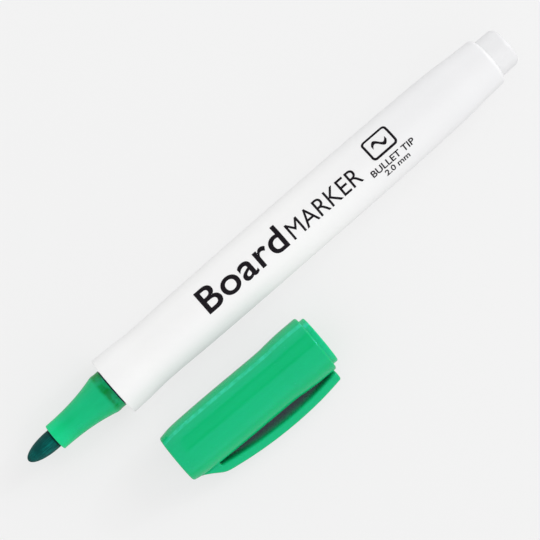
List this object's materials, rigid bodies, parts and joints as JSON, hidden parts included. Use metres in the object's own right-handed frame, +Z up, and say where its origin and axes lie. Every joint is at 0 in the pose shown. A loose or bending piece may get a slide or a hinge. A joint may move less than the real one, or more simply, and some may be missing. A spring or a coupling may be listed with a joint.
{
  "type": "whiteboard marker",
  "caption": "Slim bullet-tip whiteboard marker, uncapped: white barrel, green nib holder and fibre nib, with its green clip cap lying beside it.",
  "frame": {"origin": "on the table, below the middle of the box around the marker and its cap", "axes": "+X along the marker from nib to tail, +Z up from the table, the cap lies on the -Y side"},
  "size_m": [0.1274, 0.0363, 0.0133],
  "materials": {
    "barrel_white": "white moulded polypropylene, satin",
    "plug_white": "white moulded polypropylene, satin",
    "holder_green": "green moulded polypropylene, glossy and slightly see-through",
    "cap_green": "green moulded polypropylene, glossy",
    "liner_green": "green moulded polypropylene, satin",
    "nib_fibre": "bonded fibre soaked with green ink",
    "wadding": "lengthwise polyester fibre soaked with green ink",
    "film": "clear wrapping film",
    "print_ink": "black screen-printed ink"
  },
  "bodies": {
    "marker": {"barrel": "barrel_white", "tail_plug": "plug_white", "nib_holder": "holder_green", "nib": "nib_fibre", "reservoir_core": "wadding", "reservoir_film": "film"},
    "cap": {"cap_shell": "cap_green", "inner_cap": "liner_green"},
    "clip": {"cap_clip": "cap_green"}
  },
  "joints": [
    {"name": "cap_pull", "type": "slide", "parent": "marker", "child": "cap", "axis": [-0.9998, 0.0218, 0], "range_m": [0, 0.024]},
    {"name": "clip_flex", "type": "hinge", "parent": "cap", "child": "clip", "pos_m": [-0.03869, -0.0131, 0.00396], "axis": [0.0095, 0.4333, -0.9012], "range_deg": [0, 5], "stiffness_Nm_per_rad": 0.4}
  ]
}
